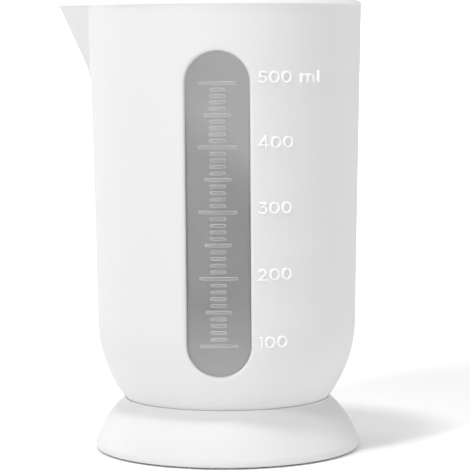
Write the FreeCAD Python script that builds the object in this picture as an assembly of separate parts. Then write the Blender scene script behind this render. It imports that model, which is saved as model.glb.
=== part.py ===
"""Baby formula pitcher: a white moulded jug with a rounded bowl for whisking, a clear scale
window let into its wall, and a soft flared foot that the jug lifts out of for washing.

Units are millimetres and +Z is up. The origin is where the jug's axis meets the table.
The window faces -Y and the spout points to -X.
"""
import FreeCAD, Part
import math
import os

from FreeCAD import Rotation, Vector

# --- The jug's wall -------------------------------------------------------------------
HEIGHT = 143.5          # table to rim
WALL = 2.4              # thickness of the moulded wall
RIM_R = 43.5            # outside radius of the wall at the rim
BOWL_R = 41.4           # outside radius of the ball-shaped bowl that the wall runs into
BOWL_CENTRE_Z = 42.1    # height of the middle of that ball
KNUCKLE_R = 18.0        # outside radius that turns the bowl into its flat bottom
BOTTOM_Z = 7.6          # height of that flat bottom above the table
LIP_PROUD = 0.25        # how far the rim's lip stands out of the wall
LIP_DEPTH = 1.4         # height of the lip

# --- The pouring spout ----------------------------------------------------------------
SPOUT_REACH = 53.85     # from the jug's axis to the tip
SPOUT_HALF_ANGLE = 36.0 # between the spout's middle plane and each side, in degrees
SPOUT_RAKE = 24.5       # lean of its front edge away from upright, in degrees
SPOUT_SWEEP_R = 30.0    # radius that blends the front edge into the wall
SPOUT_BITE = 0.15       # how far that curve runs into the wall
SPOUT_SPAN = 20.0       # half width of the tool solid, which ends inside the jug

# --- The scale window -----------------------------------------------------------------
SCALE_LOW_Z = 37.9      # height of the lowest mark, and of the window's lower round end
SCALE_FROM_RIM = 25.3   # from the rim down to the highest mark, where the upper round end is
SCALE_HIGH_Z = HEIGHT - SCALE_FROM_RIM
APERTURE_WIDTH = 19.8   # width of the opening in the wall
APERTURE_ROUND = 1.2    # rounding of the opening's outer edge
RECESS = 1.0            # from the jug's outer face down to the window's face
FLANGE_WIDTH = 2.5      # how far the window's flange reaches behind the wall
FLANGE_THICKNESS = 0.9  # thickness of that flange
BOND = 0.05             # gap that the weld or bond fills between two mouldings

# --- The marks on the window ----------------------------------------------------------
SCALE_STEPS = 40        # equal steps of volume from the lowest mark to the highest
HUNDRED_STEPS = 10      # steps from one 100 ml mark, a long bar, to the next
FIFTY_STEPS = 5         # steps from one 50 ml mark, a long or middling bar, to the next
MARK_HEIGHT = 1.0       # height of one raised bar
MARK_PROUD = 0.35       # how far a bar stands out of the window
MARK_ROOT = 0.3         # how far a bar is sunk into the window
LONG_MARK = 11.8        # length of a long bar
MIDDLE_MARK = 8.2       # length of a middling bar
SHORT_MARK = 4.9        # length of the other bars

# --- The numbers on the wall ----------------------------------------------------------
NUMERAL_HEIGHT = 3.55   # height of a figure
NUMERAL_STROKE = 0.44   # width of its strokes
NUMERAL_PROUD = 0.6     # how far it stands out of the wall
NUMERAL_ROOT = 0.3      # how far its strokes are sunk into the wall
NUMERAL_START = 17.0    # where each row starts, in degrees round from the window's middle
NUMERAL_GAP = 0.92      # space between two figures
WORD_GAP = 3.4          # space between the number and its unit
ROWS = (("100", 1.1), ("200", 1.2), ("300", 1.3), ("400", 1.5), ("500 ml", 1.8))
# Each row's text, and how far the middle of its figures lies above its long mark.

# --- The foot -------------------------------------------------------------------------
FOOT_R = 42.5           # outside radius at its widest
FOOT_WIDEST_Z = 2.4     # height where the foot is widest
FOOT_LIP_R = 33.15      # outside radius of its thin upper lip
FOOT_LIP_Z = 16.45      # height where that lip starts to round off
FOOT_SEAM_Z = 16.7      # height of the top of the lip, against the bowl
FOOT_FLARE_R = 32.0     # radius of its flared side
FOOT_WALL = 2.6         # thickness of the flared side and of the seat under the bowl
FOOT_EDGE = 1.0         # rounding of the lower outer edge
FOOT_LIFT = 0.45        # gap between that edge and the table
RING_R = 40.3           # outside radius of the flat ring that stands on the table
STANDING_R = 37.5       # inside radius of that ring
SEAT_GAP = 0.2          # gap between the bowl's round side and the foot's socket

BODY_REACH = 60.0       # longer than any radius of the jug, for the tools that cut it
OVERRUN = 5.0           # how far a cutting tool runs past the face that it cuts
TOUCH = 0.01            # a point closer than this to a face is on it


# --- Sections of the wall -------------------------------------------------------------
def wall_draft():
    """Angle between the wall and upright, from the ball and the rim that it joins."""
    across = RIM_R
    up = HEIGHT - BOWL_CENTRE_Z
    return math.acos(BOWL_R / math.hypot(across, up)) - math.atan2(up, across)


DRAFT = wall_draft()


def wall_radius(z, inset=0.0):
    """Radius of the jug's side at height z, on the face that lies inset below the outside."""
    ball = BOWL_R - inset
    above = z - BOWL_CENTRE_Z
    if above >= -ball * math.sin(DRAFT):
        return (ball + above * math.sin(DRAFT)) / math.cos(DRAFT)
    return math.sqrt(ball ** 2 - above ** 2)


def vessel(inset, top=HEIGHT):
    """Solid of revolution inside the face that lies inset below the jug's outside."""
    ball = BOWL_R - inset
    knuckle = KNUCKLE_R - inset
    knuckle_z = BOTTOM_Z + KNUCKLE_R
    turn = math.asin((BOWL_CENTRE_Z - knuckle_z) / (BOWL_R - KNUCKLE_R))
    knuckle_x = (BOWL_R - KNUCKLE_R) * math.cos(turn)

    def on_ball(angle):
        return Vector(ball * math.cos(angle), 0, BOWL_CENTRE_Z - ball * math.sin(angle))

    def on_knuckle(angle):
        return Vector(knuckle_x + knuckle * math.cos(angle), 0,
                      knuckle_z - knuckle * math.sin(angle))

    floor = on_knuckle(math.pi / 2)
    rim = Vector(wall_radius(top, inset), 0, top)
    edges = [
        Part.Arc(floor, on_knuckle((turn + math.pi / 2) / 2), on_knuckle(turn)).toShape(),
        Part.Arc(on_ball(turn), on_ball((turn + DRAFT) / 2), on_ball(DRAFT)).toShape(),
    ]
    edges += joined([on_ball(DRAFT), rim, Vector(0, 0, top), Vector(0, 0, floor.z), floor])
    return revolved(edges)


def joined(corners):
    """Straight edges from each corner to the next."""
    return [Part.LineSegment(a, b).toShape() for a, b in zip(corners, corners[1:])]


def revolved(edges):
    """Turn a closed outline in the XZ plane into a solid of revolution about Z."""
    face = Part.Face(Part.Wire(Part.__sortEdges__(edges)))
    return face.revolve(Vector(0, 0, 0), Vector(0, 0, 1), 360)


def shell(outer_inset, inner_inset):
    """The layer of the wall between two insets, as high as the jug."""
    return vessel(outer_inset).cut(vessel(inner_inset, HEIGHT + OVERRUN))


# --- The spout ------------------------------------------------------------------------
def spout_shift(thickness):
    """How far the spout's V moves along X when its sides move inwards by thickness."""
    half = math.radians(SPOUT_HALF_ANGLE)
    rake = math.radians(SPOUT_RAKE)
    lean = math.hypot(math.cos(rake), math.sin(half) * math.sin(rake))
    return thickness * lean / (math.sin(half) * math.cos(rake))


def spout_wedge(inset, top=HEIGHT):
    """A V-shaped solid whose front edge leans out from the wall to the tip."""
    rake = math.radians(SPOUT_RAKE)
    spread = SPOUT_SPAN / math.tan(math.radians(SPOUT_HALF_ANGLE))
    curve_drop = SPOUT_SWEEP_R * math.sin(rake)
    curve_reach = SPOUT_SWEEP_R * (1 - math.cos(rake))
    gap = SPOUT_REACH - curve_reach - wall_radius(HEIGHT - curve_drop) + SPOUT_BITE
    straight = gap / (math.sin(rake) - math.tan(DRAFT) * math.cos(rake))

    def on_curve(angle):
        x = straight * math.sin(rake) + SPOUT_SWEEP_R * (math.cos(angle) - math.cos(rake))
        z = straight * math.cos(rake) + SPOUT_SWEEP_R * (math.sin(rake) - math.sin(angle))
        return Vector(x - SPOUT_REACH, 0, HEIGHT - z)

    rise = top - HEIGHT
    tip = Vector(-SPOUT_REACH - rise * math.tan(rake), 0, top)
    low = on_curve(0)
    edges = [Part.Arc(on_curve(rake), on_curve(rake / 2), low).toShape()]
    edges += joined([low, Vector(0, 0, low.z), Vector(0, 0, top), tip, on_curve(rake)])
    side = Part.Face(Part.Wire(edges))
    side.translate(Vector(spout_shift(inset), 0, 0))
    halves = []
    for direction in (-1, 1):
        start = side.copy()
        start.translate(Vector(spread, direction * SPOUT_SPAN, 0))
        halves.append(start.extrude(Vector(-2 * spread, -2 * direction * SPOUT_SPAN, 0)))
    return halves[0].common(halves[1])


# --- Flat shapes that are cut through, or raised on, the curved wall --------------------
def slot_prism(width, low, high):
    """An upright slot with round ends at the given centres, run out along -Y."""
    half = width / 2
    edges = [
        Part.LineSegment(Vector(-half, 0, low), Vector(-half, 0, high)).toShape(),
        Part.Arc(Vector(-half, 0, high), Vector(0, 0, high + half), Vector(half, 0, high)).toShape(),
        Part.LineSegment(Vector(half, 0, high), Vector(half, 0, low)).toShape(),
        Part.Arc(Vector(half, 0, low), Vector(0, 0, low - half), Vector(-half, 0, low)).toShape(),
    ]
    return Part.Face(Part.Wire(edges)).extrude(Vector(0, -BODY_REACH, 0))


def bar_prism(length, height, z):
    """A level bar with round ends, centred at height z and run out along -Y."""
    prism = slot_prism(height, -(length - height) / 2, (length - height) / 2)
    prism.rotate(Vector(0, 0, 0), Vector(0, 1, 0), 90)
    prism.translate(Vector(0, 0, z))
    return prism


def scale_heights():
    """Heights of the marks: each step up the tapered wall holds the same volume."""
    low_r = wall_radius(SCALE_LOW_Z, WALL)
    high_r = wall_radius(SCALE_HIGH_Z, WALL)
    heights = []
    for step in range(SCALE_STEPS + 1):
        cube = low_r ** 3 + (high_r ** 3 - low_r ** 3) * step / SCALE_STEPS
        share = (cube ** (1 / 3) - low_r) / (high_r - low_r)
        heights.append(SCALE_LOW_Z + share * (SCALE_HIGH_Z - SCALE_LOW_Z))
    return heights


# --- Figures, drawn with strokes of one width ------------------------------------------
def line(*points):
    """Straight runs through the given (across, up) points, as edges."""
    return joined([Vector(x, y, 0) for x, y in points])


def arc(start, middle, end):
    """One round stroke through three points, as a list of one edge."""
    return [Part.Arc(*[Vector(x, y, 0) for x, y in (start, middle, end)]).toShape()]


def glyph(name):
    """Middle lines of a figure and its width; its foot is at 0 and its top at 1."""
    if name == "0":
        return [line((0, .43), (0, .57)) + arc((0, .57), (.43, 1), (.86, .57))
                + line((.86, .57), (.86, .43)) + arc((.86, .43), (.43, 0), (0, .43))], .86
    if name == "1":
        return [line((0, 1), (.25, 1), (.25, 0))], .25
    if name == "2":
        return [arc((.02, .82), (.34, 1), (.65, .72)) + line((.65, .72), (.56, .5), (.03, 0))
                + line((.03, 0), (.7, 0))], .7
    if name == "3":
        return [line((.03, 1), (.64, 1), (.32, .6)) + arc((.32, .6), (.68, .3), (.32, 0))
                + arc((.32, 0), (.13, .04), (0, .14))], .68
    if name == "4":
        return [line((.84, .25), (0, .25), (.62, 1), (.62, 0))], .84
    if name == "5":
        return [line((.6, 1), (.12, 1), (.06, .56), (.31, .6)) + arc((.31, .6), (.65, .3), (.31, 0))
                + arc((.31, 0), (.12, .03), (0, .13))], .65
    if name == "m":
        return [line((0, 0), (0, .72)),
                line((.73, 0), (.73, .355)) + arc((.73, .355), (.365, .72), (0, .355)),
                line((1.46, 0), (1.46, .355)) + arc((1.46, .355), (1.095, .72), (.73, .355))], 1.46
    return [line((.23, 0), (.23, 1.04))], .23


def stroke_solid(edges, scale):
    """A stroke's middle line given its width, standing up along -Y from the jug's axis."""
    path = Part.Wire(edges)
    path.scale(scale)
    half = NUMERAL_STROKE / 2
    if len(edges) == 1:
        upright = slot_prism(NUMERAL_STROKE, half, half + path.Length)
        upright.translate(Vector(path.BoundBox.XMin, 0, 0))
        return upright
    if path.isClosed():
        flat = Part.Face(path.makeOffset2D(half)).cut(Part.Face(path.makeOffset2D(-half)))
    else:
        flat = Part.Face(path.makeOffset2D(half, 0, False, False, False))
    flat.translate(Vector(0, half, 0))
    flat.rotate(Vector(0, 0, 0), Vector(1, 0, 0), 90)
    return flat.extrude(Vector(0, -BODY_REACH, 0))


def numeral_row(text, middle_z):
    """The strokes of one row of figures, wrapped round the wall from its start angle."""
    z = middle_z - NUMERAL_HEIGHT / 2
    scale = NUMERAL_HEIGHT - NUMERAL_STROKE
    radius = wall_radius(z)
    along = math.radians(NUMERAL_START) * radius + NUMERAL_STROKE / 2
    solids = []
    for name in text:
        if name == " ":
            along += WORD_GAP - NUMERAL_GAP
            continue
        strokes, width = glyph(name)
        middle = (along + width * scale / 2) / radius
        for edges in strokes:
            solid = stroke_solid(edges, scale)
            solid.translate(Vector(-width * scale / 2, 0, z))
            solid.rotate(Vector(0, 0, 0), Vector(0, 0, 1), math.degrees(middle))
            solids.append(solid)
        along += width * scale + NUMERAL_STROKE + NUMERAL_GAP
    return solids


# --- The three pieces ------------------------------------------------------------------
def pitcher_body():
    """The jug: tapered wall, bowl, spout and lip, with the window's opening and the numbers."""
    lip = vessel(-LIP_PROUD).fuse(spout_wedge(-LIP_PROUD))
    band = Part.makeCylinder(SPOUT_REACH + OVERRUN, LIP_DEPTH, Vector(0, 0, HEIGHT - LIP_DEPTH))
    jug = vessel(0).fuse([spout_wedge(0), lip.common(band)])
    inside = vessel(WALL, HEIGHT + OVERRUN).fuse(spout_wedge(WALL, HEIGHT + OVERRUN))
    jug = jug.cut(inside)
    jug = jug.cut(slot_prism(APERTURE_WIDTH, SCALE_LOW_Z, SCALE_HIGH_Z))
    jug = jug.makeFillet(APERTURE_ROUND, opening_edges(jug))
    rebate = slot_prism(APERTURE_WIDTH + 2 * FLANGE_WIDTH, SCALE_LOW_Z, SCALE_HIGH_Z)
    jug = jug.cut(rebate.common(vessel(WALL - FLANGE_THICKNESS)))
    heights = scale_heights()
    rows = []
    for index, (text, rise) in enumerate(ROWS):
        rows += numeral_row(text, heights[index * HUNDRED_STEPS] + rise)
    skin = shell(-NUMERAL_PROUD, NUMERAL_ROOT)
    numerals = [row.common(skin) for row in rows]
    return jug.fuse(numerals).removeSplitter()


def opening_edges(jug):
    """The edges where the window's opening breaks the jug's outer face."""
    found = []
    for edge in jug.Edges:
        point = edge.valueAt((edge.FirstParameter + edge.LastParameter) / 2)
        nearest = min(max(point.z, SCALE_LOW_Z), SCALE_HIGH_Z)
        from_middle = math.hypot(point.x, point.z - nearest)
        on_opening = abs(from_middle - APERTURE_WIDTH / 2) < TOUCH
        on_face = abs(math.hypot(point.x, point.y) - wall_radius(point.z)) < TOUCH
        if on_opening and on_face and point.y < 0:
            found.append(edge)
    return found


def sight_window():
    """The clear strip: a panel in the opening, a flange behind the wall, and raised marks."""
    panel = slot_prism(APERTURE_WIDTH - 2 * BOND, SCALE_LOW_Z, SCALE_HIGH_Z)
    flange = slot_prism(APERTURE_WIDTH + 2 * (FLANGE_WIDTH - BOND), SCALE_LOW_Z, SCALE_HIGH_Z)
    window = panel.common(shell(RECESS, WALL))
    window = window.fuse(flange.common(shell(WALL - FLANGE_THICKNESS + BOND, WALL)))
    bars = []
    for step, z in enumerate(scale_heights()):
        length = SHORT_MARK
        if step % FIFTY_STEPS == 0:
            length = MIDDLE_MARK
        if step % HUNDRED_STEPS == 0:
            length = LONG_MARK
        bars.append(bar_prism(length, MARK_HEIGHT, z))
    skin = shell(RECESS - MARK_PROUD, RECESS + MARK_ROOT)
    raised = [bar.common(skin) for bar in bars]
    return window.fuse(raised).removeSplitter()


def flared_solid(inset):
    """The foot's outer shape, solid to the axis, with its side moved inwards by inset."""
    lip = Vector(FOOT_LIP_R, 0, FOOT_LIP_Z)
    widest = Vector(FOOT_R, 0, FOOT_WIDEST_Z)
    chord = widest.sub(lip)
    outwards = Vector(-chord.z, 0, chord.x).normalize()
    rise = math.sqrt(FOOT_FLARE_R ** 2 - (chord.Length / 2) ** 2)
    centre = (lip + widest) * 0.5 - outwards * rise
    radius = FOOT_FLARE_R - inset
    top = centre + (lip - centre).normalize() * radius
    low = centre + (widest - centre).normalize() * radius
    corner = FOOT_EDGE * (1 - math.sqrt(0.5))
    rounding = [
        Vector(low.x, 0, FOOT_LIFT + FOOT_EDGE),
        Vector(low.x - corner, 0, FOOT_LIFT + corner),
        Vector(low.x - FOOT_EDGE, 0, FOOT_LIFT),
    ]
    seam = Vector(wall_radius(FOOT_SEAM_Z, -SEAT_GAP) - inset, 0, FOOT_SEAM_Z - inset)
    run = [
        Part.Arc(top, centre + outwards * radius, low).toShape(),
        Part.LineSegment(low, rounding[0]).toShape(),
        Part.Arc(*rounding).toShape(),
    ]
    run += joined([rounding[2], Vector(rounding[2].x, 0, 0), Vector(0, 0, 0)])
    run += joined([Vector(0, 0, 0), Vector(0, 0, seam.z), seam, top])
    return revolved(run)


def foot():
    """The soft foot: a socket for the bowl, a flared side and a hollow underside."""
    socket = vessel(-SEAT_GAP).cut(Part.makeCylinder(BODY_REACH, BOTTOM_Z))
    hollow = flared_solid(FOOT_WALL).cut(vessel(-SEAT_GAP - FOOT_WALL))
    hollow = hollow.common(Part.makeCylinder(STANDING_R, HEIGHT))
    ring = Part.makeCylinder(RING_R, FOOT_LIFT)
    lift = Part.makeCylinder(BODY_REACH, FOOT_LIFT).cut(ring)
    return flared_solid(0).cut([socket, hollow, lift])


def main():
    """Build every piece and write it as its own STEP file."""
    os.makedirs("parts", exist_ok=True)
    for piece in (pitcher_body, sight_window, foot):
        shape = piece()
        print(piece.__name__, shape.isValid(), len(shape.Solids), round(shape.Volume, 1))
        shape.exportStep("parts/" + piece.__name__ + ".step")


main()
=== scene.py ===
# %% [markdown]
# # Baby formula pitcher
#
# A white moulded jug for mixing baby formula. It has three pieces: the jug itself, with a pointed
# spout and a ball-shaped bowl; a clear window with raised marks, let into its wall; and a soft
# flared foot that the bowl sits in. The CAD frame gives each piece its place and size. This script
# rebuilds each piece as a smooth mesh in that same place, with rounded edges and finishes.
# Two finishes paint in highlight and one paints in shade.

# %% Load the frame
import math

import bmesh
import bpy
from mathutils import Matrix, Quaternion, Vector


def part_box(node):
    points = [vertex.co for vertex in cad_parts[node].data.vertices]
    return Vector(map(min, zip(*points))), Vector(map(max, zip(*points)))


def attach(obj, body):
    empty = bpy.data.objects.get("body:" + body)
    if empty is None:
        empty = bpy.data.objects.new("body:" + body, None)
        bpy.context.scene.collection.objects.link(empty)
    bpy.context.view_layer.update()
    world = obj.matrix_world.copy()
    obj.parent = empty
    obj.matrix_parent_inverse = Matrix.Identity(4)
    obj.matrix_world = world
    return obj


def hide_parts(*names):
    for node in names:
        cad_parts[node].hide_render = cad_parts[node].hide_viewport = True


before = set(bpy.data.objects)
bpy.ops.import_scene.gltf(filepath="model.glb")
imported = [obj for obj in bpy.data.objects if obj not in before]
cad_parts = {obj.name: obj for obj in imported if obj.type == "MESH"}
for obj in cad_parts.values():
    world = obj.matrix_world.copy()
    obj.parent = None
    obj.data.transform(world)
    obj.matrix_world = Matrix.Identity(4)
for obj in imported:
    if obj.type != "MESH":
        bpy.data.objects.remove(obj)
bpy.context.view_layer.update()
MM = 0.001

# %% [markdown]
# ## The jug's wall as a formula
#
# The wall of the real jug is turned: a ball-shaped bowl runs into a wall that opens slightly to
# the rim, so that the part leaves its mould. One formula gives the radius at any height, for the
# outside or for any depth below it. Every piece that touches the wall uses the same formula, so
# the pieces fit without any hand placing. The height, rim and bottom come from the frame.

# %% Sizes of the wall
low_corner, high_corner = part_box("pitcher_body")
LIP_PROUD = 0.25 * MM
HEIGHT = high_corner[2]
BOTTOM_Z = low_corner[2]
RIM_R = high_corner[0] - LIP_PROUD
WALL = 2.4 * MM
BOWL_R = 41.4 * MM
BOWL_CENTRE_Z = 42.1 * MM
KNUCKLE_R = 18 * MM
KNUCKLE_Z = BOTTOM_Z + KNUCKLE_R
RIM_FROM_BALL = HEIGHT - BOWL_CENTRE_Z
DRAFT = math.acos(BOWL_R / math.hypot(RIM_R, RIM_FROM_BALL)) - math.atan2(RIM_FROM_BALL, RIM_R)
TURN = math.asin((BOWL_CENTRE_Z - KNUCKLE_Z) / (BOWL_R - KNUCKLE_R))
KNUCKLE_X = (BOWL_R - KNUCKLE_R) * math.cos(TURN)


def wall_radius(z, inset=0.0):
    """Radius of the jug's side at height z, at a depth of inset below its outer face."""
    ball = BOWL_R - inset
    above = z - BOWL_CENTRE_Z
    if above >= -ball * math.sin(DRAFT):
        return (ball + above * math.sin(DRAFT)) / math.cos(DRAFT)
    return math.sqrt(max(ball * ball - above * above, 0.0))


print("draft of the wall:", round(math.degrees(DRAFT), 2), "degrees")

# %% [markdown]
# ## A pen for outlines
#
# A turned piece starts as the outline of its section. The outline is drawn with bmesh operators,
# as with a pen: a vertex is extruded for a straight run, and spun about a centre for an arc. This
# keeps each outline down to its few real sizes. Spinning the finished outline gives the piece.

# %% The pen
# Vertices closer than WELD are merged. TOUCH is a looser limit, for ends that only nearly meet.
WELD = 0.001 * MM
TOUCH = 0.01 * MM


def pen_start(bm, x, z):
    """Put the pen down at a radius and height."""
    return bm.verts.new((x, 0, z))


def pen_line(bm, tip, x, z, runs=1):
    """Draw a straight run to a radius and height, in equal parts."""
    start = tip.co.copy()
    for step in range(runs):
        tip = bmesh.ops.extrude_vert_indiv(bm, verts=[tip])["verts"][0]
        tip.co = start.lerp(Vector((x, 0, z)), (step + 1) / runs)
    return tip


def pen_arc(bm, tip, centre_x, centre_z, angle, runs):
    """Draw an arc about a centre. A positive angle turns from +X towards +Z."""
    made = bmesh.ops.spin(bm, geom=[tip], cent=(centre_x, 0, centre_z), axis=(0, -1, 0),
                          dvec=(0, 0, 0), angle=angle, steps=runs)
    return next(item for item in made["geom_last"] if isinstance(item, bmesh.types.BMVert))


def turn_outline(bm, columns):
    """Spin the whole outline once about the jug's axis and close it."""
    bmesh.ops.spin(bm, geom=list(bm.verts) + list(bm.edges), cent=(0, 0, 0), axis=(0, 0, 1),
                   dvec=(0, 0, 0), angle=math.tau, steps=columns, use_merge=True)
    bmesh.ops.remove_doubles(bm, verts=list(bm.verts), dist=WELD)
    bmesh.ops.recalc_face_normals(bm, faces=list(bm.faces))


# %% [markdown]
# ## From bmesh to a piece
#
# Each piece ends as one object at the origin, with its place in its mesh. The helpers below make
# that object, shade it smooth, and keep an edge sharp only where two faces meet steeply. A modifier
# leaves new steep edges, so they are marked again after it.

# %% Making a piece
STEEP = 30


def mark_steep_edges(bm, steepest):
    """Shade every face smooth, and mark each edge sharp that bends by more than an angle."""
    for face in bm.faces:
        face.smooth = True
    for edge in bm.edges:
        edge.smooth = len(edge.link_faces) != 2 or edge.calc_face_angle() < math.radians(steepest)


def make_object(bm, name, steepest=STEEP):
    """Turn a bmesh into an object at the origin, smooth but for its steep edges."""
    mark_steep_edges(bm, steepest)
    mesh = bpy.data.meshes.new(name)
    bm.to_mesh(mesh)
    bm.free()
    piece = bpy.data.objects.new(name, mesh)
    bpy.context.scene.collection.objects.link(piece)
    return piece


def apply_modifiers(piece):
    """Replace the piece's mesh with what its modifiers make of it."""
    bpy.context.view_layer.update()
    graph = bpy.context.evaluated_depsgraph_get()
    piece.data = bpy.data.meshes.new_from_object(piece.evaluated_get(graph), depsgraph=graph)
    piece.modifiers.clear()
    bm = bmesh.new()
    bm.from_mesh(piece.data)
    mark_steep_edges(bm, STEEP)
    bm.to_mesh(piece.data)
    bm.free()


def cut_out(piece, tool):
    """Cut the tool's shape out of the piece, and drop the tool."""
    boolean = piece.modifiers.new("cut", "BOOLEAN")
    boolean.operation = "DIFFERENCE"
    boolean.solver = "EXACT"
    boolean.object = tool
    apply_modifiers(piece)
    bpy.data.objects.remove(tool)


# %% [markdown]
# ## The jug
#
# The jug is one thick-walled moulding. Its section runs from the middle of the outer bottom, round
# the knuckle and the ball, up the wall to the thin lip, over the rounded rim and down the inside
# again. Spinning that section gives the whole vessel with an even wall. More rows are kept near
# the rim, because the spout is shaped there by moving vertices.

# %% The jug's section
LIP_DEPTH = 1.4 * MM
LIP_STEP = 0.2 * MM
LIP_EDGE = 0.25 * MM
LIP_LEAN = math.radians(40)
LIP_ROUND = 0.5 * MM
RIM_ROUND = 0.6 * MM
SPOUT_ZONE_Z = 108 * MM
JUG_COLUMNS = 360
BALL_RUNS = 22
KNUCKLE_RUNS = 14
WALL_RUNS = 14
SPOUT_RUNS = 30


def draw_bowl(bm, tip, upward):
    """Go on with the knuckle and the ball, from the bottom up or from the wall down."""
    if upward:
        tip = pen_arc(bm, tip, KNUCKLE_X, KNUCKLE_Z, math.pi / 2 - TURN, KNUCKLE_RUNS)
        return pen_arc(bm, tip, 0, BOWL_CENTRE_Z, TURN - DRAFT, BALL_RUNS)
    tip = pen_arc(bm, tip, 0, BOWL_CENTRE_Z, DRAFT - TURN, BALL_RUNS)
    return pen_arc(bm, tip, KNUCKLE_X, KNUCKLE_Z, TURN - math.pi / 2, KNUCKLE_RUNS)


def draw_lip(bm, tip):
    """Draw the lip's sloping face and the rounding that runs onto the flat rim."""
    tip = pen_arc(bm, tip, tip.co.x - LIP_EDGE, tip.co.z, LIP_LEAN, runs=4)
    top_z = HEIGHT - LIP_ROUND * (1 - math.sin(LIP_LEAN))
    top_x = tip.co.x - (top_z - tip.co.z) * math.tan(LIP_LEAN)
    tip = pen_line(bm, tip, top_x, top_z)
    centre_x = top_x - LIP_ROUND * math.cos(LIP_LEAN)
    return pen_arc(bm, tip, centre_x, HEIGHT - LIP_ROUND, math.pi / 2 - LIP_LEAN, runs=5)


def draw_jug_section(bm):
    """Draw the closed section of the vessel."""
    step_z = HEIGHT - LIP_DEPTH
    tip = pen_line(bm, pen_start(bm, 0, BOTTOM_Z), KNUCKLE_X, BOTTOM_Z, runs=4)
    tip = draw_bowl(bm, tip, upward=True)
    tip = pen_line(bm, tip, wall_radius(SPOUT_ZONE_Z), SPOUT_ZONE_Z, WALL_RUNS)
    tip = pen_line(bm, tip, wall_radius(step_z - LIP_STEP), step_z - LIP_STEP, SPOUT_RUNS)
    tip = pen_line(bm, tip, wall_radius(step_z) + LIP_PROUD, step_z, runs=3)
    tip = draw_lip(bm, tip)
    round_z = HEIGHT - RIM_ROUND
    inner_r = wall_radius(round_z, WALL)
    tip = pen_line(bm, tip, inner_r + RIM_ROUND, HEIGHT, runs=2)
    tip = pen_arc(bm, tip, inner_r + RIM_ROUND, round_z, math.pi / 2, runs=6)
    tip = pen_line(bm, tip, wall_radius(SPOUT_ZONE_Z, WALL), SPOUT_ZONE_Z, SPOUT_RUNS)
    ball = BOWL_R - WALL
    tip = pen_line(bm, tip, ball * math.cos(DRAFT), BOWL_CENTRE_Z - ball * math.sin(DRAFT),
                   WALL_RUNS)
    tip = draw_bowl(bm, tip, upward=False)
    pen_line(bm, tip, 0, BOTTOM_Z + WALL, runs=4)


# %% [markdown]
# ## The spout
#
# The spout is a sharp V that leans out from the wall: two flat sides meet in one front edge. Seen
# from above, each level of it is a V of the same angle. So the distance from the jug's axis to the
# V is known in every direction, and a vertex only has to move out to whichever is further, the
# round wall or the V. A soft maximum blends the two, which gives the small fillet at their seam.

# %% The spout's formula
SPOUT_REACH = -low_corner[0]
SPOUT_HALF_ANGLE = math.radians(36)
SPOUT_RAKE = math.radians(24.5)
SPOUT_SWEEP_R = 30 * MM
SPOUT_BITE = 0.15 * MM
SPOUT_BLEND = 1.0 * MM
SPOUT_SECTOR = math.radians(31.8)


def spout_shift(thickness):
    """How far the V moves along X when its sides move out by thickness."""
    lean = math.hypot(math.cos(SPOUT_RAKE), math.sin(SPOUT_HALF_ANGLE) * math.sin(SPOUT_RAKE))
    return thickness * lean / (math.sin(SPOUT_HALF_ANGLE) * math.cos(SPOUT_RAKE))


SPOUT_TIP = SPOUT_REACH - spout_shift(LIP_PROUD)
CURVE_DROP = SPOUT_SWEEP_R * math.sin(SPOUT_RAKE)
CURVE_REACH = SPOUT_SWEEP_R * (1 - math.cos(SPOUT_RAKE))
CURVE_GAP = SPOUT_TIP - CURVE_REACH - wall_radius(HEIGHT - CURVE_DROP) + SPOUT_BITE
STRAIGHT = CURVE_GAP / (math.sin(SPOUT_RAKE) - math.tan(DRAFT) * math.cos(SPOUT_RAKE))


def spout_edge(z):
    """Distance from the axis to the spout's front edge at height z."""
    drop = HEIGHT - z
    if drop < STRAIGHT * math.cos(SPOUT_RAKE):
        return SPOUT_TIP - drop * math.tan(SPOUT_RAKE)
    fall = SPOUT_SWEEP_R * math.sin(SPOUT_RAKE) - (drop - STRAIGHT * math.cos(SPOUT_RAKE))
    depth = SPOUT_SWEEP_R - math.sqrt(max(SPOUT_SWEEP_R ** 2 - max(fall, 0.0) ** 2, 0.0))
    return SPOUT_TIP - STRAIGHT * math.sin(SPOUT_RAKE) - CURVE_REACH + depth


def soft_max(a, b, blend):
    """The larger of two lengths, blended where they are nearly equal."""
    overlap = max(blend - abs(a - b), 0.0) / blend
    return max(a, b) + blend * overlap * overlap / 4


def push_spout(bm):
    """Move each vertex of the wall out to the spout's V where that lies further out."""
    for vert in bm.verts:
        flat = math.hypot(vert.co.x, vert.co.y)
        if vert.co.z < SPOUT_ZONE_Z or vert.co.x > -flat * math.cos(SPOUT_SECTOR):
            continue
        around = abs(math.atan2(vert.co.y, -vert.co.x))
        inset = wall_radius(vert.co.z) - flat
        edge = spout_edge(vert.co.z) - spout_shift(inset)
        reach = edge * math.sin(SPOUT_HALF_ANGLE) / math.sin(around + SPOUT_HALF_ANGLE)
        scale = soft_max(flat, reach, SPOUT_BLEND) / flat
        vert.co.x *= scale
        vert.co.y *= scale


# %% [markdown]
# ## Slots on the curved wall
#
# The window's opening, its rebate and the window itself are all upright slots with round ends.
# Each starts as a flat section that is spun into a round plug. Its upper and lower halves then move
# apart, which makes the slot. Last, the plug is bent onto the wall: its depth becomes a depth below
# the wall's outer face. The opening's outer edge is flared like the rounded edge of the moulding.

# %% Slot shapes
SCALE_LOW_Z = 37.9 * MM
SCALE_HIGH_Z = HEIGHT - 25.3 * MM
APERTURE_WIDTH = 19.8 * MM
APERTURE_ROUND = 1.2 * MM
RECESS = 1.0 * MM
FLANGE_WIDTH = 2.5 * MM
FLANGE_THICKNESS = 0.9 * MM
BOND = 0.05 * MM
SLOT_COLUMNS = 96
FLARE_STEPS = 8
CUT_REACH = 4 * MM
CUT_CORE = 1 * MM
CUT_SHARES = (0.4, 0.7)


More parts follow.
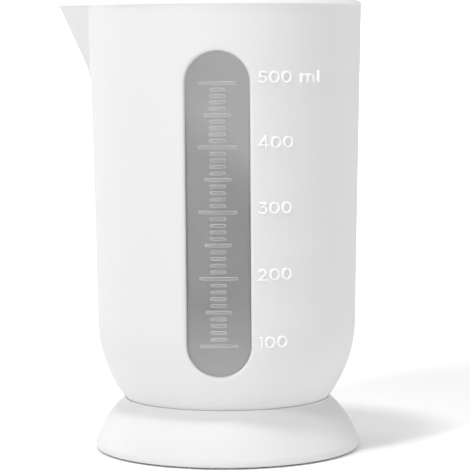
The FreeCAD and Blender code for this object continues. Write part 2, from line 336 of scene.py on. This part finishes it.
def bend_to_wall(bm):
    """Lay a flat plug on the wall: its Y becomes a depth below the wall's outer face."""
    for vert in bm.verts:
        radius = wall_radius(vert.co.z, vert.co.y)
        vert.co.y = -math.sqrt(max(radius ** 2 - vert.co.x ** 2, 0.0))


def slot_plug(section, low, high):
    """Spin a section of (half width, depth) points into a plug, and stretch it into a slot."""
    bm = bmesh.new()
    verts = [bm.verts.new((half, depth, 0)) for half, depth in section]
    for first, second in zip(verts, verts[1:]):
        bm.edges.new((first, second))
    half_step = math.pi / SLOT_COLUMNS
    bmesh.ops.rotate(bm, verts=verts, cent=(0, 0, 0), matrix=Matrix.Rotation(half_step, 3, "Y"))
    bmesh.ops.spin(bm, geom=verts + list(bm.edges), cent=(0, 0, 0), axis=(0, -1, 0),
                   dvec=(0, 0, 0), angle=math.tau, steps=SLOT_COLUMNS, use_merge=True)
    for vert in bm.verts:
        vert.co.z += high if vert.co.z > 0 else low
    bmesh.ops.remove_doubles(bm, verts=list(bm.verts), dist=WELD)
    bmesh.ops.holes_fill(bm, edges=[edge for edge in bm.edges if edge.is_boundary], sides=0)
    bmesh.ops.recalc_face_normals(bm, faces=list(bm.faces))
    return bm


def opening_tool():
    """The tool that cuts the window's opening, with a flared outer edge and the rebate."""
    half = APERTURE_WIDTH / 2
    section = [(CUT_CORE, -CUT_REACH)]
    section += [(share * half, -CUT_REACH) for share in CUT_SHARES]
    section.append((half + APERTURE_ROUND, -CUT_REACH))
    for step in range(FLARE_STEPS + 1):
        angle = step / FLARE_STEPS * math.pi / 2
        flare = APERTURE_ROUND * (1 - math.sin(angle))
        section.append((half + flare, APERTURE_ROUND * (1 - math.cos(angle))))
    section.append((half, WALL - FLANGE_THICKNESS))
    rebate = half + FLANGE_WIDTH
    section.append((rebate, WALL - FLANGE_THICKNESS))
    section.append((rebate, WALL + CUT_REACH))
    section += [(share * half, WALL + CUT_REACH) for share in reversed(CUT_SHARES)]
    section.append((CUT_CORE, WALL + CUT_REACH))
    bm = slot_plug(section, SCALE_LOW_Z, SCALE_HIGH_Z)
    bend_to_wall(bm)
    return make_object(bm, "opening_tool")


# %% Build the jug
def build_jug():
    """Spin the vessel, shape its spout and cut the window's opening."""
    bm = bmesh.new()
    draw_jug_section(bm)
    turn_outline(bm, JUG_COLUMNS)
    push_spout(bm)
    jug = make_object(bm, "jug_shell")
    cut_out(jug, opening_tool())
    return jug


jug = build_jug()
print("jug faces:", len(jug.data.polygons))

# %% [markdown]
# ## The window
#
# The window is a clear moulding: a panel in the opening, and a thinner flange that is bonded into
# the rebate behind the wall. It is made from the same slot plug as the opening. The panel is a
# little smaller than the opening, so that a fine dark groove shows between the two, and its face
# is rounded off at the edge. Painted shade darkens the panel's edge: it is dark grey.

# %% Build the window
PANE_GROOVE = 0.3 * MM
PANE_ROUND = 0.3 * MM
PANE_SHARES = (0.05, 0.2, 0.35, 0.5, 0.65, 0.8, 0.92)


def from_slot_middle(place):
    """How far a point of the flat plug lies from the middle line of the slot."""
    nearest = min(max(place.z, SCALE_LOW_Z), SCALE_HIGH_Z)
    return math.hypot(place.x, place.z - nearest)


def build_window():
    """Make the panel and flange, with painted shade on the panel's edge as a second material."""
    half = APERTURE_WIDTH / 2 - PANE_GROOVE
    flange = APERTURE_WIDTH / 2 + FLANGE_WIDTH - BOND
    step_depth = WALL - FLANGE_THICKNESS + BOND
    across = [share * half for share in PANE_SHARES]
    corner = 0.3 * PANE_ROUND
    section = [(x, RECESS) for x in across] + [(half - PANE_ROUND, RECESS)]
    section += [(half - corner, RECESS + corner), (half, RECESS + PANE_ROUND)]
    section += [(half, step_depth), (flange, step_depth), (flange, WALL), (half, WALL)]
    section += [(x, WALL) for x in reversed(across)]
    bm = slot_plug(section, SCALE_LOW_Z, SCALE_HIGH_Z)
    # The panel's edge faces take the second material, the painted dark shade.
    for face in bm.faces:
        place = face.calc_center_median()
        if half - PANE_ROUND < from_slot_middle(place) <= half + TOUCH and place.y < step_depth:
            face.material_index = 1
    bend_to_wall(bm)
    return make_object(bm, "window_pane")


window = build_window()
print("window faces:", len(window.data.polygons))

# %% [markdown]
# ## The marks
#
# The marks are bars that stand out of the window's face. In the mould their cavities are left
# frosted, so that the bars show up against the polished window. Each bar starts as a disc that is
# stretched sideways, raised, and rounded along its upper edge. Equal steps of volume set their
# heights, so they draw together slightly as the wall opens out.

# %% Build the marks
SCALE_STEPS = 40
HUNDRED_STEPS = 10
FIFTY_STEPS = 5
MARK_HEIGHT = 1.0 * MM
MARK_PROUD = 0.35 * MM
MARK_ROOT = 0.05 * MM
MARK_ROUND = 0.22 * MM
LONG_MARK = 11.8 * MM
MIDDLE_MARK = 8.2 * MM
SHORT_MARK = 4.9 * MM
MARK_CUT = 0.7 * MM
MARK_SEGMENTS = 24
MARK_STEEP = 60


def scale_heights():
    """Heights of the marks: each step up the tapered wall holds the same volume."""
    low_r = wall_radius(SCALE_LOW_Z, WALL)
    high_r = wall_radius(SCALE_HIGH_Z, WALL)
    whole = high_r ** 3 - low_r ** 3
    heights = []
    for step in range(SCALE_STEPS + 1):
        here_r = (low_r ** 3 + step / SCALE_STEPS * whole) ** (1 / 3)
        share = (here_r - low_r) / (high_r - low_r)
        heights.append(SCALE_LOW_Z + share * (SCALE_HIGH_Z - SCALE_LOW_Z))
    return heights


def add_bar(bm, length, z):
    """Add one level bar with round ends, its middle at height z."""
    half = MARK_HEIGHT / 2
    half_step = math.pi / MARK_SEGMENTS
    disc = bmesh.ops.create_circle(bm, cap_ends=True, radius=half, segments=MARK_SEGMENTS,
                                   matrix=Matrix.Rotation(half_step, 4, "Z"))["verts"]
    for vert in disc:
        run = math.copysign(length / 2 - half, vert.co.x)
        vert.co = Vector((vert.co.x + run, RECESS + MARK_ROOT, vert.co.y + z))
    top = bmesh.ops.extrude_face_region(bm, geom=list(disc[0].link_faces))["geom"]
    tops = [item for item in top if isinstance(item, bmesh.types.BMVert)]
    bmesh.ops.translate(bm, verts=tops, vec=(0, -MARK_ROOT - MARK_PROUD, 0))


def build_marks():
    """Make all the bars, round their upper edges and lay them on the window's face."""
    bm = bmesh.new()
    for step, z in enumerate(scale_heights()):
        length = SHORT_MARK
        if step % FIFTY_STEPS == 0:
            length = MIDDLE_MARK
        if step % HUNDRED_STEPS == 0:
            length = LONG_MARK
        add_bar(bm, length, z)
    rims = [edge for edge in bm.edges if all(vert.co.y < RECESS for vert in edge.verts)]
    bmesh.ops.bevel(bm, geom=rims, offset=MARK_ROUND, segments=4, affect="EDGES",
                    profile=0.5, material=-1)
    cuts = int(LONG_MARK / MARK_CUT)
    for cut in range(1, cuts):
        across = (cut / cuts - 0.5) * LONG_MARK
        everything = list(bm.verts) + list(bm.edges) + list(bm.faces)
        bmesh.ops.bisect_plane(bm, geom=everything, plane_co=(across, 0, 0), plane_no=(1, 0, 0))
    bmesh.ops.recalc_face_normals(bm, faces=list(bm.faces))
    bend_to_wall(bm)
    return make_object(bm, "scale_marks", MARK_STEEP)


marks = build_marks()
print("marks faces:", len(marks.data.polygons))

# %% [markdown]
# ## The numbers
#
# The numbers stand out of the wall in the same white plastic. On the real mould each figure is a
# groove of one width. So each figure is drawn as a line with the pen, and the line is raised into a
# standing strip and given its width by Solidify. The finished row is then bent round the wall.

# %% Figures drawn with strokes
NUMERAL_HEIGHT = 3.55 * MM
NUMERAL_STROKE = 0.44 * MM
NUMERAL_PROUD = 0.6 * MM
NUMERAL_ROOT = 0.3 * MM
NUMERAL_ROUND = 0.15 * MM
NUMERAL_STEEP = math.radians(50)
NUMERAL_RUNS = 10
NUMERAL_START = math.radians(17)
NUMERAL_GAP = 0.92 * MM
WORD_GAP = 3.4 * MM

# Each row is its text, and how far the middle of its figures stands above its mark.
ROWS = (("100", 1.1 * MM), ("200", 1.2 * MM), ("300", 1.3 * MM), ("400", 1.5 * MM),
        ("500 ml", 1.8 * MM))

PEN_UNIT = NUMERAL_HEIGHT - NUMERAL_STROKE

# Each stroke is a start point and then runs: two numbers draw a line to that point, and four
# numbers draw an arc through the first point to the second. The foot is at 0 and the top at 1.
FIGURES = {
    "0": (.86, [[(0, .43), (0, .57), (.43, 1, .86, .57), (.86, .43), (.43, 0, 0, .43)]]),
    "1": (.25, [[(0, 1), (.25, 1), (.25, 0)]]),
    "2": (.7, [[(.02, .82), (.34, 1, .65, .72), (.56, .5), (.03, 0), (.7, 0)]]),
    "3": (.68, [[(.03, 1), (.64, 1), (.32, .6), (.68, .3, .32, 0), (.13, .04, 0, .14)]]),
    "4": (.84, [[(.84, .25), (0, .25), (.62, 1), (.62, 0)]]),
    "5": (.65, [[(.6, 1), (.12, 1), (.06, .56), (.31, .6), (.65, .3, .31, 0), (.12, .03, 0, .13)]]),
    "m": (1.46, [[(0, 0), (0, .72)],
                 [(.73, 0), (.73, .355), (.365, .72, 0, .355)],
                 [(1.46, 0), (1.46, .355), (1.095, .72, .73, .355)]]),
    "l": (.23, [[(.23, 0), (.23, 1.04)]]),
}


def arc_centre(start, middle, end):
    """Centre of the circle through three (x, z) points, and the angle from start to end."""
    (ax, az), (bx, bz), (cx, cz) = start, middle, end
    twice = 2 * (ax * (bz - cz) + bx * (cz - az) + cx * (az - bz))
    a2, b2, c2 = ax * ax + az * az, bx * bx + bz * bz, cx * cx + cz * cz
    x = (a2 * (bz - cz) + b2 * (cz - az) + c2 * (az - bz)) / twice
    z = (a2 * (cx - bx) + b2 * (ax - cx) + c2 * (bx - ax)) / twice
    first = math.atan2(az - z, ax - x)
    angle = (math.atan2(cz - z, cx - x) - first) % math.tau
    passed = (math.atan2(bz - z, bx - x) - first) % math.tau
    return x, z, angle if passed < angle else angle - math.tau


def draw_stroke(bm, stroke, left, foot):
    """Draw one stroke as a line of edges, from a figure's left edge and foot.

    Only the stroke's own ends are joined. Where two strokes of a figure meet they stay apart
    and overlap, so that each keeps its full width."""
    def place(x, z):
        return left + x * PEN_UNIT, foot + z * PEN_UNIT

    drawn = len(bm.verts)
    tip = pen_start(bm, *place(*stroke[0]))
    for run in stroke[1:]:
        if len(run) == 2:
            tip = pen_line(bm, tip, *place(*run))
            continue
        x, z, angle = arc_centre((tip.co.x, tip.co.z), place(*run[:2]), place(*run[2:]))
        tip = pen_arc(bm, tip, x, z, angle, NUMERAL_RUNS)
    bmesh.ops.remove_doubles(bm, verts=list(bm.verts)[drawn:], dist=TOUCH)


def draw_row(bm, text, middle_z):
    """Draw a row of figures flat, beside the window's middle line."""
    z = middle_z - NUMERAL_HEIGHT / 2
    along = NUMERAL_START * wall_radius(z) + NUMERAL_STROKE / 2
    for name in text:
        if name == " ":
            along += WORD_GAP - NUMERAL_GAP
            continue
        width, strokes = FIGURES[name]
        for stroke in strokes:
            draw_stroke(bm, stroke, along, z + NUMERAL_STROKE / 2)
        along += width * PEN_UNIT + NUMERAL_STROKE + NUMERAL_GAP


def extend_ends(bm):
    """Lengthen each open end by half a stroke, so that flat ends reach the figure's edge."""
    for vert in bm.verts:
        if len(vert.link_edges) == 1:
            other = vert.link_edges[0].other_vert(vert)
            vert.co += (vert.co - other.co).normalized() * NUMERAL_STROKE / 2


def build_numbers():
    """Draw all rows, raise them into strips of one width, and bend them round the wall."""
    bm = bmesh.new()
    heights = scale_heights()
    for index, (text, rise) in enumerate(ROWS):
        draw_row(bm, text, heights[index * HUNDRED_STEPS] + rise)
    extend_ends(bm)
    bmesh.ops.translate(bm, verts=list(bm.verts), vec=(0, NUMERAL_ROOT, 0))
    raised = bmesh.ops.extrude_edge_only(bm, edges=list(bm.edges))["geom"]
    tops = [item for item in raised if isinstance(item, bmesh.types.BMVert)]
    bmesh.ops.translate(bm, verts=tops, vec=(0, -NUMERAL_ROOT - NUMERAL_PROUD, 0))
    numbers = make_object(bm, "raised_numbers")
    width = numbers.modifiers.new("stroke width", "SOLIDIFY")
    width.thickness = NUMERAL_STROKE
    width.offset = 0
    width.use_even_offset = True
    apply_modifiers(numbers)
    for vert in numbers.data.vertices:
        depth = vert.co.y
        angle = vert.co.x / wall_radius(vert.co.z)
        radius = wall_radius(vert.co.z, depth)
        vert.co.x = radius * math.sin(angle)
        vert.co.y = -radius * math.cos(angle)
    soften = numbers.modifiers.new("soft edges", "BEVEL")
    soften.width = NUMERAL_ROUND
    soften.segments = 3
    soften.limit_method = "ANGLE"
    soften.angle_limit = NUMERAL_STEEP
    apply_modifiers(numbers)
    return numbers


numbers = build_numbers()
print("number faces:", len(numbers.data.polygons))

# %% [markdown]
# ## The foot
#
# The foot is a soft moulding that stretches over the bowl: a thin lip hugs the ball, the side
# flares out in one arc, and a flat ring stands on the table. Underneath it is hollow. All of it is
# turned, so its section is drawn with the pen and spun.

# %% Build the foot
FOOT_SEAM_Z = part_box("foot")[1][2]
FOOT_R = 42.5 * MM
FOOT_WIDEST_Z = 2.4 * MM
FOOT_LIP_R = 33.15 * MM
FOOT_LIP_Z = 16.45 * MM
FOOT_FLARE_R = 32 * MM
FOOT_WALL = 2.6 * MM
FOOT_EDGE = 1.0 * MM
FOOT_LIFT = 0.45 * MM
RING_R = 40.3 * MM
RING_ROUND = 0.15 * MM
STANDING_R = 37.5 * MM
SEAT_GAP = 0.2 * MM
SEAM_STEP = 0.12 * MM
FOOT_COLUMNS = 240


def flare_centre():
    """Centre of the arc that gives the foot's side its shape."""
    lip = Vector((FOOT_LIP_R, 0, FOOT_LIP_Z))
    widest = Vector((FOOT_R, 0, FOOT_WIDEST_Z))
    chord = widest - lip
    outwards = Vector((-chord.z, 0, chord.x)).normalized()
    rise = math.sqrt(FOOT_FLARE_R ** 2 - (chord.length / 2) ** 2)
    return (lip + widest) / 2 - outwards * rise


def direction(centre, x, z):
    """Angle of a point seen from a centre."""
    return math.atan2(z - centre.z, x - centre.x)


def draw_foot_section(bm):
    """Draw the foot's closed section, from the seat's middle round to the hollow's middle."""
    centre = flare_centre()
    seam_r = wall_radius(FOOT_SEAM_Z, -SEAT_GAP)
    seat_turn = math.asin((BOWL_CENTRE_Z - FOOT_SEAM_Z) / (BOWL_R + SEAT_GAP))
    knuckle = KNUCKLE_R + SEAT_GAP
    reach = math.sqrt(knuckle ** 2 - (KNUCKLE_Z - BOTTOM_Z) ** 2)
    start = math.asin((KNUCKLE_Z - BOTTOM_Z) / knuckle)
    tip = pen_line(bm, pen_start(bm, 0, BOTTOM_Z), KNUCKLE_X + reach, BOTTOM_Z, runs=4)
    tip = pen_arc(bm, tip, KNUCKLE_X, KNUCKLE_Z, start - TURN, KNUCKLE_RUNS)
    tip = pen_arc(bm, tip, 0, BOWL_CENTRE_Z, TURN - seat_turn, runs=6)
    tip = pen_line(bm, tip, seam_r + SEAM_STEP, FOOT_SEAM_Z)
    tip = pen_line(bm, tip, FOOT_LIP_R, FOOT_LIP_Z, runs=2)
    sweep = direction(centre, FOOT_R, FOOT_WIDEST_Z) - direction(centre, FOOT_LIP_R, FOOT_LIP_Z)
    tip = pen_arc(bm, tip, centre.x, centre.z, sweep, runs=24)
    edge_z = FOOT_LIFT + FOOT_EDGE
    tip = pen_line(bm, tip, FOOT_R, edge_z)
    tip = pen_arc(bm, tip, FOOT_R - FOOT_EDGE, edge_z, -math.pi / 2, runs=6)
    tip = pen_line(bm, tip, RING_R, FOOT_LIFT)
    tip = pen_line(bm, tip, RING_R, RING_ROUND)
    tip = pen_line(bm, tip, RING_R - RING_ROUND, 0)
    tip = pen_line(bm, tip, STANDING_R + RING_ROUND, 0, runs=2)
    tip = pen_line(bm, tip, STANDING_R, RING_ROUND)
    inner = FOOT_FLARE_R - FOOT_WALL
    cavity_z = centre.z + math.sqrt(inner ** 2 - (STANDING_R - centre.x) ** 2)
    tip = pen_line(bm, tip, STANDING_R, cavity_z, runs=3)
    roof_z = FOOT_SEAM_Z - 2 * FOOT_WALL
    roof_x = centre.x + math.sqrt(inner ** 2 - (roof_z - centre.z) ** 2)
    sweep = direction(centre, roof_x, roof_z) - direction(centre, STANDING_R, cavity_z)
    tip = pen_arc(bm, tip, centre.x, centre.z, sweep, runs=8)
    under = BOWL_R + SEAT_GAP + FOOT_WALL
    under_turn = math.asin((BOWL_CENTRE_Z - roof_z) / under)
    tip = pen_line(bm, tip, under * math.cos(under_turn), roof_z)
    tip = pen_arc(bm, tip, 0, BOWL_CENTRE_Z, under_turn - TURN, runs=4)
    bottom = KNUCKLE_R + SEAT_GAP + FOOT_WALL
    tip = pen_line(bm, tip, KNUCKLE_X + bottom * math.cos(TURN),
                   KNUCKLE_Z - bottom * math.sin(TURN))
    tip = pen_arc(bm, tip, KNUCKLE_X, KNUCKLE_Z, TURN - math.pi / 2, runs=12)
    pen_line(bm, tip, 0, KNUCKLE_Z - bottom, runs=3)


def build_foot():
    """Spin the foot's section."""
    bm = bmesh.new()
    draw_foot_section(bm)
    bmesh.ops.remove_doubles(bm, verts=list(bm.verts), dist=WELD)
    turn_outline(bm, FOOT_COLUMNS)
    return make_object(bm, "foot_moulding")


foot = build_foot()
print("foot faces:", len(foot.data.polygons))

# %% [markdown]
# ## Finishes
#
# A finish is a few shader nodes. One function turns an sRGB hex colour into linear light, and one
# adds a node with its settings and links. Patterns read Object coordinates, which are real metres
# here, so a texture's scale comes straight from a size in millimetres.

# %% Helpers for finishes
def linear(hex_colour):
    """Turn an sRGB hex colour such as "F2F2F0" into linear red, green, blue and alpha."""
    channels = [int(hex_colour[i:i + 2], 16) / 255 for i in (0, 2, 4)]
    return [c / 12.92 if c <= 0.04045 else ((c + 0.055) / 1.055) ** 2.4 for c in channels] + [1.0]


def add_node(material, kind, links=(), **values):
    """Add a node, set its inputs or properties by name, and link (output socket, input name)."""
    node = material.node_tree.nodes.new(kind)
    for name, value in values.items():
        label = name.replace("_", " ")
        if label in node.inputs:
            node.inputs[label].default_value = value
        else:
            setattr(node, name, value)
    for output, name in links:
        material.node_tree.links.new(output, node.inputs[name])
    return node


def new_material(name):
    """A new material with an empty node tree."""
    material = bpy.data.materials.new(name)
    material.use_nodes = True
    material.node_tree.nodes.clear()
    return material


def finish_material(material, shader):
    """Link the shader to the material's output."""
    output = add_node(material, "ShaderNodeOutputMaterial")
    material.node_tree.links.new(shader.outputs[0], output.inputs["Surface"])
    return material


# %% [markdown]
# ### Moulded polypropylene
#
# The jug is white polypropylene, moulded against a spark-eroded steel face. That leaves a fine even
# grain, about a third of a millimetre across, which takes the gloss down to a soft sheen. A noise
# drives a weak bump for that grain, and a broader one varies the roughness slightly.

# %% White polypropylene
def moulded_polypropylene():
    """Matte white plastic with a fine moulded grain."""
    material = new_material("moulded polypropylene")
    place = add_node(material, "ShaderNodeTexCoord").outputs["Object"]
    grain = add_node(material, "ShaderNodeTexNoise", [(place, "Vector")], Scale=3000.0, Detail=2.0)
    cloud = add_node(material, "ShaderNodeTexNoise", [(place, "Vector")], Scale=60.0, Detail=2.0)
    rough = add_node(material, "ShaderNodeMapRange", [(cloud.outputs["Fac"], "Value")],
                     To_Min=0.58, To_Max=0.64)
    bump = add_node(material, "ShaderNodeBump", [(grain.outputs["Fac"], "Height")],
                    Strength=0.10, Distance=0.05 * MM)
    shader = add_node(material, "ShaderNodeBsdfPrincipled",
                      [(rough.outputs["Result"], "Roughness"), (bump.outputs["Normal"], "Normal")],
                      Base_Color=linear("E3E3E3"), Specular_IOR_Level=0.3, IOR=1.49)
    return finish_material(material, shader)


def smooth_polypropylene_painted_bright():
    """The same plastic, polished, in pure white: a painted highlight on the raised numbers."""
    material = new_material("smooth polypropylene painted bright")
    # Painted highlight: the base colour is whiter than the jug's, so the raised numbers look lit.
    shader = add_node(material, "ShaderNodeBsdfPrincipled", Base_Color=linear("FFFFFF"),
                      Roughness=0.3, IOR=1.49)
    return finish_material(material, shader)


# %% [markdown]
# ### Clear polished plastic
#
# The window is a clear copolyester, moulded in a polished cavity, so it is smooth and glossy. The
# panel is thin and its two faces are parallel, so light goes straight through it and nearly
# unbent. A transparent shader does that, and lets the light into the jug. A glossy shader adds the
# reflection, which grows from 5 per cent face-on to a full mirror at a grazing angle.

# %% Clear copolyester
def gloss_share(material, face_on, power=5.0):
    """A share that grows from face-on to 1 at a grazing angle, as a clear surface reflects."""
    facing = add_node(material, "ShaderNodeLayerWeight", Blend=0.5).outputs["Facing"]
    bent = add_node(material, "ShaderNodeMath", operation="POWER")
    bent.inputs[1].default_value = power
    material.node_tree.links.new(facing, bent.inputs[0])
    share = add_node(material, "ShaderNodeMapRange", [(bent.outputs[0], "Value")], To_Min=face_on)
    return share.outputs["Result"]


def clear_copolyester():
    """Clear glossy plastic in a thin even sheet."""
    material = new_material("clear copolyester")
    through = add_node(material, "ShaderNodeBsdfTransparent", Color=linear("E8E8E8"))
    gloss = add_node(material, "ShaderNodeBsdfGlossy", Color=linear("FFFFFF"), Roughness=0.06)
    share = gloss_share(material, face_on=0.05)
    shader = add_node(material, "ShaderNodeMixShader", [(share, "Fac")])
    material.node_tree.links.new(through.outputs[0], shader.inputs[1])
    material.node_tree.links.new(gloss.outputs[0], shader.inputs[2])
    return finish_material(material, shader)


# %% [markdown]
# ### Painted shade on the edge of clear plastic
#
# Light that enters a clear panel near its edge is trapped and comes out elsewhere, so the cut edge
# looks like a thin dark line round the window. That line is painted shade: a second, dark grey
# material on the panel's edge alone, while the flange behind the wall stays clear.

# %% Edge of the window
def painted_shade_edge():
    """Painted shade: dark grey where the clear plastic is seen through its edge."""
    material = new_material("copolyester edge painted shade")
    shader = add_node(material, "ShaderNodeBsdfPrincipled", Base_Color=linear("2C2C2C"),
                      Roughness=0.25, IOR=1.57)
    return finish_material(material, shader)


# %% [markdown]
# ### Frosted marks
#
# The bars are the same clear plastic with a frosted, faintly white face, which scatters a little
# light face-on. Their bright outline is a painted highlight: the white face turns opaque towards
# the rounded edges, standing in for the light that those edges reflect.

# %% Frosted copolyester
def frosted_copolyester_painted_outline():
    """Clear plastic with a frosted white face, opaque at the edges as a painted highlight."""
    material = new_material("frosted copolyester painted outline")
    # Painted highlight: the face's opacity grows towards grazing edges, drawing a bright outline.
    share = gloss_share(material, face_on=0.03, power=0.8)
    shader = add_node(material, "ShaderNodeBsdfPrincipled", [(share, "Alpha")],
                      Base_Color=linear("F8F8F8"), Roughness=0.35, IOR=1.57)
    return finish_material(material, shader)


# %% [markdown]
# ### Silicone rubber
#
# The foot is white silicone rubber. It is a little smoother than the jug and has no grain. A broad
# noise varies its roughness slightly.

# %% White silicone
def white_silicone():
    """Soft matte white rubber."""
    material = new_material("white silicone")
    place = add_node(material, "ShaderNodeTexCoord").outputs["Object"]
    cloud = add_node(material, "ShaderNodeTexNoise", [(place, "Vector")], Scale=90.0, Detail=3.0)
    rough = add_node(material, "ShaderNodeMapRange", [(cloud.outputs["Fac"], "Value")],
                     To_Min=0.50, To_Max=0.56)
    shader = add_node(material, "ShaderNodeBsdfPrincipled",
                      [(rough.outputs["Result"], "Roughness")],
                      Base_Color=linear("E3E3E3"), Specular_IOR_Level=0.3, IOR=1.41)
    return finish_material(material, shader)


jug_plastic = moulded_polypropylene()
number_plastic = smooth_polypropylene_painted_bright()
window_plastic = clear_copolyester()
window_edge_shade = painted_shade_edge()
mark_plastic = frosted_copolyester_painted_outline()
foot_silicone = white_silicone()

# %% [markdown]
# ## Joining the frame
#
# Each row below gives a piece, the CAD node that it stands for, the body that it moves with,
# the material slot of the record and its finish. The piece takes the finish, the CAD node is
# hidden, and the piece moves with its body's empty. The slot is listed but not used.

# %% Hand the pieces to the frame
for piece, node, body, slot, material in (
        (jug, "pitcher_body", "jug", "jug_plastic", jug_plastic),
        (numbers, "pitcher_body", "jug", "jug_plastic", number_plastic),
        (window, "sight_window", "jug", "window_plastic", window_plastic),
        (marks, "sight_window", "jug", "window_plastic", mark_plastic),
        (foot, "foot", "foot", "foot_silicone", foot_silicone)):
    piece.data.materials.clear()
    piece.data.materials.append(material)
    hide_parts(node)
    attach(piece, body)
# The window's second material paints dark shade on the panel's edge.
window.data.materials.append(window_edge_shade)

# %% [markdown]
# ## Floor, light and camera
#
# The set is a white table with a lit white backdrop. Two small hard key lights stand at the upper
# left. They throw the short shadows that show the raised numbers, and the higher one and the
# overhead light also shine down into the jug. Wide soft boxes low at the back light both sides and
# throw the foot's soft shadow, and another in front fills the right. A glowing card that lies on
# the table at the left shows as a lighter half in the window's glossy face.

# %% The floor and the backdrop
FLOOR_HALF = 3.0
BACKDROP_HALF = 0.4
BACKDROP_AWAY = 1.6
GLOW_START = 0.15
GLOW_FULL = 0.9
CARD_HALF = (0.415, 0.62)
CARD_PLACE = (-0.485, -0.88, 0.5 * MM)
MATTE = 0.9


def matte_white(name, glow):
    """A matte white surface that glows."""
    material = new_material(name)
    shader = add_node(material, "ShaderNodeBsdfPrincipled", Base_Color=linear("FFFFFF"),
                      Roughness=MATTE, Emission_Color=linear("FFFFFF"), Emission_Strength=glow)
    return finish_material(material, shader)


def lit_table():
    """Matte white whose glow grows towards the back, like a table that is lit from behind."""
    material = new_material("white table")
    place = add_node(material, "ShaderNodeTexCoord").outputs["Object"]
    away = add_node(material, "ShaderNodeSeparateXYZ", [(place, "Vector")]).outputs["Y"]
    glow = add_node(material, "ShaderNodeMapRange", [(away, "Value")], From_Min=GLOW_START,
                    From_Max=GLOW_FULL)
    shader = add_node(material, "ShaderNodeBsdfPrincipled",
                      [(glow.outputs["Result"], "Emission Strength")],
                      Base_Color=linear("FFFFFF"), Roughness=MATTE,
                      Emission_Color=linear("FFFFFF"))
    return finish_material(material, shader)


def stage_plane(name, half, turn, place, material):
    """A flat rectangle that is part of the set. Half gives its half width and half depth."""
    bm = bmesh.new()
    corners = bmesh.ops.create_grid(bm, x_segments=1, y_segments=1, size=1)["verts"]
    bmesh.ops.scale(bm, verts=corners, vec=(half[0], half[1], 1))
    bmesh.ops.transform(bm, verts=corners,
                        matrix=Matrix.Translation(place) @ Matrix.Rotation(turn, 4, "X"))
    plane = make_object(bm, name)
    plane.data.materials.append(material)


stage_plane("floor", (FLOOR_HALF, FLOOR_HALF), 0, (0, 0, 0), lit_table())
stage_plane("backdrop", (BACKDROP_HALF, BACKDROP_HALF), math.pi / 2, (0, BACKDROP_AWAY, 0),
            matte_white("white backdrop", 1.0))
stage_plane("left card", CARD_HALF, 0, CARD_PLACE, matte_white("left card", 0.35))

# %% The light
SURROUND_STRENGTH = 0.3
LIGHT_DISTANCE = 1.2

world = bpy.data.worlds.new("white surround")
bpy.context.scene.world = world
world.use_nodes = True
world.node_tree.nodes["Background"].inputs["Color"].default_value = (1, 1, 1, 1)
world.node_tree.nodes["Background"].inputs["Strength"].default_value = SURROUND_STRENGTH
bpy.context.scene.view_settings.view_transform = "Standard"


def softbox(name, azimuth, elevation, size, power):
    """A square area light aimed at the middle of the jug, with its angles in degrees.

    Azimuth 0 is in front, at -Y, and a negative one is to the left. Size is in metres and power
    in watts."""
    light = bpy.data.lights.new(name, "AREA")
    light.size = size
    light.energy = power
    lamp = bpy.data.objects.new(name, light)
    bpy.context.scene.collection.objects.link(lamp)
    turn, rise = math.radians(azimuth), math.radians(elevation)
    middle = Vector((0, 0, HEIGHT / 2))
    level = math.cos(rise)
    way = Vector((math.sin(turn) * level, -math.cos(turn) * level, math.sin(rise)))
    lamp.location = middle + way * LIGHT_DISTANCE
    lamp.rotation_euler = (-way).to_track_quat("-Z", "Y").to_euler()


softbox("key", -35, 40, 0.15, 4.3)
softbox("high key", -30, 75, 0.15, 4.5)
softbox("overhead", 0, 89, 0.6, 3.0)
softbox("front right", 30, 35, 0.5, 2.6)
softbox("low back left", -120, 10, 0.5, 3.2)
softbox("low back right", 120, 10, 0.5, 2.0)
softbox("far back left", -160, 10, 0.5, 1.3)

# %% The camera
CAMERA_DISTANCE = 737 * MM
CAMERA_HEIGHT = 133 * MM
CAMERA_AZIMUTH = math.radians(3.5)
CAMERA_PITCH = math.radians(5)
CAMERA_ROLL = math.radians(-0.33)
SENSOR = 36.0
PICTURE_WIDTH = 470
FOCAL_PIXELS = 2299
AXIS_LEFT_PIXELS = 8.8

lens = bpy.data.cameras.new("camera")
lens.sensor_width = SENSOR
lens.lens = FOCAL_PIXELS / PICTURE_WIDTH * SENSOR
lens.clip_start = 0.01
camera = bpy.data.objects.new("camera", lens)
bpy.context.scene.collection.objects.link(camera)
camera.location = (math.sin(CAMERA_AZIMUTH) * CAMERA_DISTANCE,
                   -math.cos(CAMERA_AZIMUTH) * CAMERA_DISTANCE, CAMERA_HEIGHT)
aim_turn = CAMERA_AZIMUTH - math.atan(AXIS_LEFT_PIXELS / FOCAL_PIXELS)
view = Vector((-math.sin(aim_turn), math.cos(aim_turn), -math.tan(CAMERA_PITCH)))
camera.rotation_mode = "QUATERNION"
camera.rotation_quaternion = view.to_track_quat("-Z", "Y") @ Quaternion((0, 0, 1), CAMERA_ROLL)
bpy.context.scene.camera = camera
